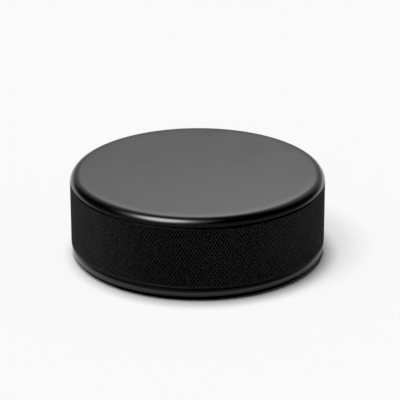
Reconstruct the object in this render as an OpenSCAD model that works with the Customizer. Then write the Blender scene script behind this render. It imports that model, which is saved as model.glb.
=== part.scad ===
// Ice hockey puck, moulded in one piece from solid vulcanised rubber.
// It rests on Z = 0 with its axis on Z. The foot stands back a little from the side wall.

/* [Puck] */
// Diameter over the side wall
puck_d = 76.2; // [60:0.1:90]
// Thickness from face to face
puck_h = 25.4; // [18:0.1:32]

/* [Shoulders] */
// Radius of the round that joins the upper face to the side wall
shoulder_r = 3; // [1.5:0.1:4]
// Radius of the round around the lower face
foot_round_r = 2.2; // [1:0.1:3]
// How far the foot below the lower groove stands back from the side wall
foot_inset = 0.2; // [0:0.05:1]

/* [Grooves] */
// Distance from the upper face to the middle of the upper groove
top_groove_inset = 2.6; // [2:0.05:3.5]
// Distance from the lower face to the middle of the lower groove
bottom_groove_inset = 3.5; // [3.2:0.05:4]
// Width of the groove that each mould joint leaves
groove_w = 0.4; // [0.1:0.05:0.6]
// Depth of each groove below the narrower wall beside it
groove_depth = 0.35; // [0.1:0.05:0.5]

/* [Knurled band] */
// Height of the knurled band
band_h = 18.05; // [10:0.05:18.2]
// Smooth margin between the upper groove and the band
band_margin = 0.35; // [0:0.05:0.5]
// How far the knurl's crests stand below the smooth wall
band_step = 0.05; // [0:0.01:0.2]

/* [Hidden] */
$fn = 180;
puck_r = puck_d / 2;
face_r = puck_r - shoulder_r;
foot_r = puck_r - foot_inset;
foot_face_r = foot_r - foot_round_r;
top_groove_z = puck_h - top_groove_inset;
band_top_z = top_groove_z - groove_w / 2 - band_margin;
band_z = band_top_z - band_h;
// How far a cutter reaches past the wall that it cuts
past = 1;

// Half section of a round edge: the outer half of a circle, its middle at [r, z]
module round_edge(r, z, radius) {
  translate([r, z])
    intersection() {
      circle(r = radius);
      translate([0, -radius])
        square([radius, 2 * radius]);
    }
}

// Half section of the plain disc: the core, the wide wall with its upper shoulder, and the foot
module disc_section() {
  square([min(face_r, foot_face_r), puck_h]);
  translate([0, foot_round_r])
    square([foot_r, bottom_groove_inset - foot_round_r]);
  translate([0, bottom_groove_inset])
    square([puck_r, puck_h - shoulder_r - bottom_groove_inset]);
  translate([0, puck_h - 2 * shoulder_r])
    square([face_r, 2 * shoulder_r]);
  square([foot_face_r, 2 * foot_round_r]);
  round_edge(face_r, puck_h - shoulder_r, shoulder_r);
  round_edge(foot_face_r, foot_round_r, foot_round_r);
}

// Half section of one groove, cut into the wall from outside
module groove_cut(r, z) {
  translate([r - groove_depth, z - groove_w / 2])
    square([groove_depth + foot_inset + past, groove_w]);
}

// Half section of all that is cut from the side wall: both grooves and the band's small step
module side_cuts() {
  groove_cut(puck_r, top_groove_z);
  groove_cut(foot_r, bottom_groove_inset);
  translate([puck_r - band_step, band_z])
    square([band_step + past, band_h]);
}

// The whole puck: one revolved solid of rubber
module puck_body() {
  color([0.06, 0.06, 0.06])
    rotate_extrude()
      difference() {
        disc_section();
        side_cuts();
      }
}

puck_body();
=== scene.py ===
"""Ice hockey puck: one moulded piece of black rubber with a knurled side band, in a small photo studio."""

import math
import random

import bpy
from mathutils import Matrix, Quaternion, Vector


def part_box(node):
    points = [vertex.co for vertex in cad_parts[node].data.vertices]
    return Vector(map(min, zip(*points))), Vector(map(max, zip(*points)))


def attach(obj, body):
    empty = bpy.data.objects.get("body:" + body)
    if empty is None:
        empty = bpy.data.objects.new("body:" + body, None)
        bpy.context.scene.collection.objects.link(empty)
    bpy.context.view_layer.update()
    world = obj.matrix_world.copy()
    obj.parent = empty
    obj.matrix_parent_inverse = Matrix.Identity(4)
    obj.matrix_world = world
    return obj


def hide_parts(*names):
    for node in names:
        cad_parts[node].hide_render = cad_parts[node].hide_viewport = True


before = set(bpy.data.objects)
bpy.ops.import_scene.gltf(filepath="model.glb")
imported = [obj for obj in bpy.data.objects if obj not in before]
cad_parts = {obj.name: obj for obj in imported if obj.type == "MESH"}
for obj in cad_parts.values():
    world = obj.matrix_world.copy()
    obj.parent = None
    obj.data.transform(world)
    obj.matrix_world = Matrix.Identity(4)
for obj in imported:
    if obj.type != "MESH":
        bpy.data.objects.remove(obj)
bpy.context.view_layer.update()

MM = 0.001

# ---- Sizes of the puck, in metres; its radius and height come from the CAD node ----
low_corner, high_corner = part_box("puck_body")
PUCK_R = (high_corner.x - low_corner.x) / 2
PUCK_H = high_corner.z
SHOULDER_R = 3.0 * MM
FACE_R = PUCK_R - SHOULDER_R
FOOT_R = 37.9 * MM
FOOT_ROUND_R = 2.2 * MM
FOOT_FACE_R = FOOT_R - FOOT_ROUND_R
BAND_TOP_Z = 22.25 * MM
BAND_Z = 4.2 * MM
# Grooves, each from its upper lip down: depth below the wall and height, in millimetres
UPPER_GROOVE = ((0.10, 23.08), (0.20, 23.03), (0.38, 22.97), (0.43, 22.90),
                (0.43, 22.72), (0.35, 22.60), (0.20, 22.52))
LOWER_GROOVE = ((0.30, 3.66), (0.62, 3.60), (0.70, 3.54), (0.70, 3.43))

# ---- Rounds: from and to as tilts in degrees, 0 on the upper face and 90 on the side wall ----
ROUND_STEPS = 18
SHOULDER_TILTS = (4, 75.5)
# The shoulder's sharp lip above the upper groove
LIP_TILTS = (76.2, 76.5)
# The foot's round: the polished part below the lower groove, then the dull part down to the floor
FOOT_SHINE_TILTS = (57, 108)
FOOT_DULL_TILTS = (111, 176)
# Edges of the moulded ring that carries the band: radius, distance beyond the band, tilts, steps
RING_TOP_R, RING_TOP_RISE = 0.20 * MM, 0.05 * MM
RING_TOP_TILTS, RING_TOP_STEPS = (15, 90), 5
RING_FOOT_R, RING_FOOT_DROP = 0.15 * MM, 0.36 * MM
RING_FOOT_TILTS, RING_FOOT_STEPS = (90, 150), 6
# Rings across each flat face, as shares of its radius
FACE_RING_SHARES = (0.06, 0.2, 0.4, 0.6, 0.8, 0.94, 1.0)

# ---- The knurl: staggered diamond pits between crossing ridges ----
PITS_ROUND = 240
PIT_ROWS = 22
ROW_PITCH = (BAND_TOP_Z - BAND_Z) / (PIT_ROWS + 1)
PIT_DEPTH = 0.38 * MM
PIT_DEPTH_SPREAD = 0.10
PIT_SEED = 7
# Depths of the half pits along the band's lower and upper edges
LOWER_EDGE_DEPTH = 0.14 * MM
UPPER_EDGE_DEPTH = 0.26 * MM
# Each pit is a stack of shrinking diamonds: share of the full diamond, share of the depth
PIT_RINGS = ((0.94, 0.02), (0.86, 0.12), (0.12, 1.0))
# Corners of a whole pit and of the half pits, from the pit's middle: turns in pits, heights in rows
WHOLE_PIT = ((0.0, 1.0), (-0.5, 0.0), (0.0, -1.0), (0.5, 0.0))
LOWER_HALF_PIT = ((-0.5, -1 / 3), (0.5, -1 / 3), (0.0, 2 / 3))
UPPER_HALF_PIT = ((0.5, 1 / 3), (-0.5, 1 / 3), (0.0, -2 / 3))

# ---- Rubber finishes, one for each zone of the surface ----
# Tone, roughness and its spread, size and depth of the grain, specular level
FINISHES = {
    "face": (0.010, 0.18, 0.07, 0.35 * MM, 0.0006 * MM, 0.5),
    "rim": (0.002, 0.17, 0.02, 0.5 * MM, 0.0003 * MM, 0.5),
    "margin": (0.004, 0.50, 0.05, 0.12 * MM, 0.002 * MM, 0.12),
    "dull": (0.003, 0.60, 0.05, 0.12 * MM, 0.002 * MM, 0.1),
    "knurl": (0.0155, 0.40, 0.05, 0.12 * MM, 0.002 * MM, 0.17),
}
# Slow changes of tone and polish: how fine the clouds are, and how far the tone swings
CLOUD_SCALE, CLOUD_DETAIL = 90.0, 4.0
GRAIN_DETAIL = 3.0
TONE_SWING = 0.2

# ---- The studio: two suns by elevation and azimuth, with their width, all in degrees ----
KEY_FROM = (65, -110)
KEY_ANGLE = 26
KEY_STRENGTH = 0.78
OVERHEAD_FROM = (84, -28)
OVERHEAD_ANGLE = 20
OVERHEAD_STRENGTH = 2.46
# The world's even fill on dull surfaces, and the white that the camera sees
FILL_GLOW = 0.08
HORIZON_GLOW = 0.95
# Black point of the view
BLACK_LEVEL = 0.005
FLOOR_SIDE = 6.0
FLOOR_TONE = 0.88

# ---- The studio in the puck's gloss: each part's glow, and where it starts and ends along a unit
# direction's rise (z), distance to the side (x) or distance to the rear (y) ----
DARK_GLOW = 0.07
REAR_FADE = (0.0, 0.60)
# The low room in front, cut off by a plane that leans forward
ROOM_GLOW = 0.20
ROOM_FALL = (0.44, 0.24)
ROOM_TILT = 0.35
# The floor's bright horizon on both sides at the rear
FLANK_GLOW = 0.7
FLANK_RISE = (0.16, 0.0)
FLANK_SIDES = (0.20, 0.60)
# The tall card at the rear: an even, wide foot, and a brighter upper part that fades to the sides
CARD_X = 0.05
CARD_FALL = (0.985, 0.70)
CARD_FOOT_GLOW = 0.33
CARD_FOOT_SIDES = (0.72, 0.50)
CARD_UPPER_GLOW = 2.42
CARD_UPPER_RISE = (0.345, 0.44)
CARD_UPPER_SIDES = (0.55, -0.25)
# The soft light that the shoulder mirrors: where it is, its core and the spill around it, which
# start and end along the cosine of the angle to it
HALO_FROM = (62, -130)
HALO_GLOW = 11.0
HALO_FADE = (0.925, 1.0)
SPILL_GLOW = 1.6
SPILL_FADE = (0.80, 1.0)

# ---- The camera: in front of the puck and a little above, angles in degrees ----
CAMERA_ELEVATION = 22.79
CAMERA_ROLL = -0.18
CAMERA_DISTANCE = 0.656
CAMERA_AIM = (0.0, 0.0, PUCK_H / 2)
CAMERA_CLIP = (0.01, 20)
LENS, SENSOR_W = 196.4, 36.0
SHIFT_X, SHIFT_Y = 0.0060, 0.0236


class MeshBuilder:
    """Collects rings of vertices and the faces between them, each face with a material zone."""

    def __init__(self):
        self.verts, self.faces, self.zones = [], [], []

    def vertex(self, radius, angle, z):
        self.verts.append((radius * math.cos(angle), radius * math.sin(angle), z))
        return len(self.verts) - 1

    def ring(self, radius, z, turn=0.0):
        step = 2 * math.pi / PITS_ROUND
        return [self.vertex(radius, (i + turn) * step, z) for i in range(PITS_ROUND)]

    def face(self, corners, zone):
        self.faces.append(corners)
        self.zones.append(zone)

    def skin(self, upper, lower, zone):
        """Quads between two rings; upper and lower are seen from outside the wall."""
        n = len(upper)
        for i in range(n):
            j = (i + 1) % n
            self.face((upper[i], lower[i], lower[j], upper[j]), zone)


def arc(centre_r, centre_z, radius, tilts, steps=ROUND_STEPS):
    """Points of a round as radius and height, from its first tilt to its last."""
    start, end = tilts
    points = []
    for step in range(steps + 1):
        tilt = math.radians(start + (end - start) * step / steps)
        points.append((centre_r + radius * math.sin(tilt), centre_z + radius * math.cos(tilt)))
    return points


def groove(points):
    """A groove's listed section as radius and height."""
    return [(PUCK_R - depth * MM, z * MM) for depth, z in points]


def upper_profile():
    """From the upper face's edge down: the polished shoulder, then the groove and the ring's edge."""
    shoulder_z = PUCK_H - SHOULDER_R
    shoulder = arc(FACE_R, shoulder_z, SHOULDER_R, SHOULDER_TILTS)
    lip = arc(FACE_R, shoulder_z, SHOULDER_R, LIP_TILTS, 1)
    edge = arc(PUCK_R - RING_TOP_R, BAND_TOP_Z + RING_TOP_RISE, RING_TOP_R, RING_TOP_TILTS, RING_TOP_STEPS)
    return shoulder + lip, groove(UPPER_GROOVE) + edge


def lower_profile():
    """From the band down: the ring's edge and the groove, then the foot's polished and dull parts."""
    edge = arc(PUCK_R - RING_FOOT_R, BAND_Z - RING_FOOT_DROP, RING_FOOT_R, RING_FOOT_TILTS, RING_FOOT_STEPS)
    shine = arc(FOOT_FACE_R, FOOT_ROUND_R, FOOT_ROUND_R, FOOT_SHINE_TILTS)
    dull = arc(FOOT_FACE_R, FOOT_ROUND_R, FOOT_ROUND_R, FOOT_DULL_TILTS)
    return edge + groove(LOWER_GROOVE), shine, dull


def sink_pit(mesh, corners, shape, turn, z, depth):
    """Press a pit into the wall between corners that exist already; shape says where they lie."""
    step = 2 * math.pi / PITS_ROUND
    for share, sink in PIT_RINGS:
        inner = []
        for across, up in shape:
            angle = (turn + across * share) * step
            inner.append(mesh.vertex(PUCK_R - depth * sink, angle, z + up * share * ROW_PITCH))
        for a in range(len(shape)):
            b = (a + 1) % len(shape)
            mesh.face((corners[a], corners[b], inner[b], inner[a]), "knurl")
        corners = inner
    mesh.face(tuple(corners), "knurl")


def build_knurl(mesh, upper_edge, lower_edge):
    """Diamond pits in a net of ridges between two rings that already exist."""
    rng = random.Random(PIT_SEED)
    levels = [lower_edge]
    for level in range(1, PIT_ROWS + 1):
        levels.append(mesh.ring(PUCK_R, BAND_Z + level * ROW_PITCH, 0.5 * (level % 2)))
    levels.append(upper_edge)
    for row in range(1, PIT_ROWS + 1):
        shift = row % 2
        for i in range(PITS_ROUND):
            before = (i - 1) % PITS_ROUND
            # odd levels are turned by half a pit, so a pit's tips are crossings of the other kind
            tip = i if shift else before
            corners = [levels[row + 1][tip], levels[row][before],
                       levels[row - 1][tip], levels[row][i]]
            turn = i - 0.5 + 0.5 * shift
            depth = PIT_DEPTH * (1 + PIT_DEPTH_SPREAD * rng.uniform(-1, 1))
            sink_pit(mesh, corners, WHOLE_PIT, turn, BAND_Z + row * ROW_PITCH, depth)
    odd_top = PIT_ROWS % 2
    for i in range(PITS_ROUND):
        j = (i + 1) % PITS_ROUND
        low = [lower_edge[i], lower_edge[j], levels[1][i]]
        sink_pit(mesh, low, LOWER_HALF_PIT, i + 0.5, BAND_Z + ROW_PITCH / 3, LOWER_EDGE_DEPTH)
        high = [upper_edge[j], upper_edge[i], levels[PIT_ROWS][i if odd_top else j]]
        turn = i + 0.5 + 0.5 * (1 - odd_top)
        sink_pit(mesh, high, UPPER_HALF_PIT, turn, BAND_TOP_Z - ROW_PITCH / 3, UPPER_EDGE_DEPTH)


def build_puck(materials):
    """The whole puck as one closed mesh."""
    mesh = MeshBuilder()
    top = [(mesh.ring(FACE_R * share, PUCK_H), "face") for share in FACE_RING_SHARES]
    shoulder, upper_groove = upper_profile()
    top += [(mesh.ring(*point), "rim") for point in shoulder]
    top += [(mesh.ring(*point), "margin") for point in upper_groove]
    upper_edge = mesh.ring(PUCK_R, BAND_TOP_Z, 0.5 * ((PIT_ROWS + 1) % 2))
    lower_edge = mesh.ring(PUCK_R, BAND_Z)
    bottom = [(lower_edge, "margin")]
    lower_groove, shine, dull = lower_profile()
    bottom += [(mesh.ring(*point), "margin") for point in lower_groove]
    bottom += [(mesh.ring(*point), "rim") for point in shine]
    bottom += [(mesh.ring(*point), "dull") for point in dull]
    bottom += [(mesh.ring(FOOT_FACE_R * share, 0.0), "face") for share in reversed(FACE_RING_SHARES)]
    for (upper, _), (lower, zone) in zip(top, top[1:]):
        mesh.skin(upper, lower, zone)
    mesh.skin(top[-1][0], upper_edge, "margin")
    build_knurl(mesh, upper_edge, lower_edge)
    for (upper, zone), (lower, _) in zip(bottom, bottom[1:]):
        mesh.skin(upper, lower, zone)
    centre_top = mesh.vertex(0, 0, PUCK_H)
    centre_low = mesh.vertex(0, 0, 0)
    for i in range(PITS_ROUND):
        j = (i + 1) % PITS_ROUND
        mesh.face((centre_top, top[0][0][i], top[0][0][j]), "face")
        mesh.face((centre_low, bottom[-1][0][j], bottom[-1][0][i]), "face")
    data = bpy.data.meshes.new("puck_rubber")
    data.from_pydata(mesh.verts, [], mesh.faces)
    order = list(materials)
    for name in order:
        data.materials.append(materials[name])
    data.polygons.foreach_set("material_index", [order.index(z) for z in mesh.zones])
    data.polygons.foreach_set("use_smooth", [z != "knurl" for z in mesh.zones])
    data.update()
    data.validate()
    puck = bpy.data.objects.new("puck_rubber", data)
    bpy.context.scene.collection.objects.link(puck)
    return puck


# ---- Materials ----
def rubber(name, base, roughness, rough_spread, grain_size, grain_depth, gloss):
    """Black vulcanised rubber: a fine moulded grain and slow changes of tone and polish."""
    material = bpy.data.materials.new(name)
    material.use_nodes = True
    tree = material.node_tree
    nodes, link = tree.nodes, tree.links.new
    shader = nodes["Principled BSDF"]
    shader.inputs["Specular IOR Level"].default_value = gloss
    where = nodes.new("ShaderNodeTexCoord")
    clouds = nodes.new("ShaderNodeTexNoise")
    clouds.inputs["Scale"].default_value = CLOUD_SCALE
    clouds.inputs["Detail"].default_value = CLOUD_DETAIL
    link(where.outputs["Object"], clouds.inputs["Vector"])
    polish = nodes.new("ShaderNodeMapRange")
    polish.inputs["To Min"].default_value = roughness - rough_spread
    polish.inputs["To Max"].default_value = roughness + rough_spread
    link(clouds.outputs["Fac"], polish.inputs["Value"])
    link(polish.outputs["Result"], shader.inputs["Roughness"])
    tone = nodes.new("ShaderNodeMixRGB")
    tone.inputs["Color1"].default_value = (*[base * (1 - TONE_SWING)] * 3, 1)
    tone.inputs["Color2"].default_value = (*[base * (1 + TONE_SWING)] * 3, 1)
    link(clouds.outputs["Fac"], tone.inputs["Fac"])
    link(tone.outputs["Color"], shader.inputs["Base Color"])
    grain = nodes.new("ShaderNodeTexNoise")
    grain.inputs["Scale"].default_value = 1.0 / grain_size
    grain.inputs["Detail"].default_value = GRAIN_DETAIL
    link(where.outputs["Object"], grain.inputs["Vector"])
    bump = nodes.new("ShaderNodeBump")
    bump.inputs["Distance"].default_value = grain_depth
    bump.inputs["Strength"].default_value = 1.0
    link(grain.outputs["Fac"], bump.inputs["Height"])
    link(bump.outputs["Normal"], shader.inputs["Normal"])
    return material


def matt(name, tone):
    """An even matt grey for the floor."""
    material = bpy.data.materials.new(name)
    material.use_nodes = True
    shader = material.node_tree.nodes["Principled BSDF"]
    shader.inputs["Base Color"].default_value = (tone, tone, tone, 1)
    shader.inputs["Roughness"].default_value = 1.0
    shader.inputs["Specular IOR Level"].default_value = 0.0
    return material


# ---- Studio ----
def make_floor():
    """A plain pale floor under the puck."""
    half = FLOOR_SIDE / 2
    data = bpy.data.meshes.new("floor")
    corners = [(-half, -half, 0), (half, -half, 0), (half, half, 0), (-half, half, 0)]
    data.from_pydata(corners, [], [(0, 1, 2, 3)])
    data.materials.append(matt("floor_white", FLOOR_TONE))
    floor = bpy.data.objects.new("floor", data)
    bpy.context.scene.collection.objects.link(floor)


def direction(elevation, azimuth):
    """Unit vector towards a light; azimuth 0 is straight behind the puck, positive to its right."""
    up, turn = math.radians(elevation), math.radians(azimuth)
    return Vector((math.cos(up) * math.sin(turn), math.cos(up) * math.cos(turn), math.sin(up)))


def make_sun(name, place, angle, strength):
    """A round soft light in the sky, angle degrees wide; the puck's gloss doesn't mirror it."""
    data = bpy.data.lights.new(name, "SUN")
    data.energy = strength
    data.angle = math.radians(angle)
    light = bpy.data.objects.new(name, data)
    light.rotation_euler = (-direction(*place)).to_track_quat("-Z", "Y").to_euler()
    light.visible_glossy = False
    bpy.context.scene.collection.objects.link(light)


def fade(tree, value, start, end):
    """A smooth step from 0 to 1 as value goes from start to end; start may be the larger one."""
    low, high = min(start, end), max(start, end)
    node = tree.nodes.new("ShaderNodeMapRange")
    node.interpolation_type = "SMOOTHSTEP"
    node.inputs["From Min"].default_value, node.inputs["From Max"].default_value = low, high
    node.inputs["To Min"].default_value = 0.0 if start < end else 1.0
    node.inputs["To Max"].default_value = 1.0 if start < end else 0.0
    tree.links.new(value, node.inputs["Value"])
    return node.outputs["Result"]


def math_node(tree, operation, *values):
    """One arithmetic node; each value is a socket or a number."""
    node = tree.nodes.new("ShaderNodeMath")
    node.operation = operation
    for slot, value in zip(node.inputs, values):
        if isinstance(value, (int, float)):
            slot.default_value = value
        else:
            tree.links.new(value, slot)
    return node.outputs[0]


def product(tree, *values):
    """The values multiplied together."""
    result = values[0]
    for value in values[1:]:
        result = math_node(tree, "MULTIPLY", result, value)
    return result


def studio_glow(tree):
    """Brightness of the studio by direction, as the puck's gloss sees it."""
    where = tree.nodes.new("ShaderNodeTexCoord").outputs["Generated"]
    split = tree.nodes.new("ShaderNodeSeparateXYZ")
    tree.links.new(where, split.inputs["Vector"])
    across, back, up = (split.outputs[axis] for axis in "XYZ")
    rear, front = fade(tree, back, *REAR_FADE), fade(tree, back, *reversed(REAR_FADE))

    aside = math_node(tree, "ABSOLUTE", across)
    flanks = product(tree, rear, fade(tree, up, *FLANK_RISE), fade(tree, aside, *FLANK_SIDES), FLANK_GLOW)

    off_card = math_node(tree, "ABSOLUTE", math_node(tree, "SUBTRACT", across, CARD_X))
    upper_part = product(tree, fade(tree, up, *CARD_UPPER_RISE), fade(tree, off_card, *CARD_UPPER_SIDES),
                         CARD_UPPER_GLOW)
    foot_part = product(tree, fade(tree, off_card, *CARD_FOOT_SIDES), CARD_FOOT_GLOW)
    card = product(tree, rear, fade(tree, up, *CARD_FALL), math_node(tree, "ADD", upper_part, foot_part))

    leaned = math_node(tree, "ADD", up, math_node(tree, "MULTIPLY", back, ROOM_TILT))
    room = product(tree, fade(tree, leaned, *ROOM_FALL), front, ROOM_GLOW)

    towards_halo = tree.nodes.new("ShaderNodeVectorMath")
    towards_halo.operation = "DOT_PRODUCT"
    towards_halo.inputs[1].default_value = direction(*HALO_FROM)
    tree.links.new(where, towards_halo.inputs[0])
    cosine = towards_halo.outputs["Value"]
    halo = product(tree, fade(tree, cosine, *HALO_FADE), HALO_GLOW)
    spill = product(tree, fade(tree, cosine, *SPILL_FADE), SPILL_GLOW)

    total = DARK_GLOW
    for part in (flanks, card, room, halo, spill):
        total = math_node(tree, "ADD", part, total)
    return total


def background(tree, glow):
    """A white background shader; glow is a number or a socket."""
    light = tree.nodes.new("ShaderNodeBackground")
    light.inputs["Color"].default_value = (1, 1, 1, 1)
    if isinstance(glow, float):
        light.inputs["Strength"].default_value = glow
    else:
        tree.links.new(glow, light.inputs["Strength"])
    return light.outputs["Background"]


def make_world():
    """Faint fill on dull surfaces, the studio in the puck's gloss, and white for the camera."""
    world = bpy.data.worlds.new("studio")
    world.use_nodes = True
    tree = world.node_tree
    tree.nodes.clear()
    path = tree.nodes.new("ShaderNodeLightPath")
    shader = background(tree, FILL_GLOW)
    for ray, glow in (("Is Glossy Ray", studio_glow(tree)), ("Is Camera Ray", HORIZON_GLOW)):
        mix = tree.nodes.new("ShaderNodeMixShader")
        tree.links.new(path.outputs[ray], mix.inputs["Fac"])
        tree.links.new(shader, mix.inputs[1])
        tree.links.new(background(tree, glow), mix.inputs[2])
        shader = mix.outputs["Shader"]
    output = tree.nodes.new("ShaderNodeOutputWorld")
    tree.links.new(shader, output.inputs["Surface"])
    bpy.context.scene.world = world


def make_camera():
    """A long lens that looks at the middle of the puck from its front."""
    data = bpy.data.cameras.new("camera")
    data.lens, data.sensor_width = LENS, SENSOR_W
    data.shift_x, data.shift_y = SHIFT_X, SHIFT_Y
    data.clip_start, data.clip_end = CAMERA_CLIP
    camera = bpy.data.objects.new("camera", data)
    back = direction(CAMERA_ELEVATION, 180)
    camera.location = Vector(CAMERA_AIM) + CAMERA_DISTANCE * back
    look = (-back).to_track_quat("-Z", "Y") @ Quaternion((0, 0, 1), math.radians(CAMERA_ROLL))
    camera.rotation_euler = look.to_euler()
    bpy.context.scene.collection.objects.link(camera)
    bpy.context.scene.camera = camera


def set_view():
    """Plain colours with a slightly raised black point, so that the deepest shade is black."""
    view = bpy.context.scene.view_settings
    view.view_transform = "Standard"
    view.look = "None"
    view.use_curve_mapping = True
    view.curve_mapping.black_level = (BLACK_LEVEL,) * 3


puck = build_puck({zone: rubber("rubber_" + zone, *finish) for zone, finish in FINISHES.items()})
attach(puck, "root")
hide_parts("puck_body")

make_floor()
make_world()
make_camera()
make_sun("key", KEY_FROM, KEY_ANGLE, KEY_STRENGTH)
make_sun("overhead", OVERHEAD_FROM, OVERHEAD_ANGLE, OVERHEAD_STRENGTH)
set_view()
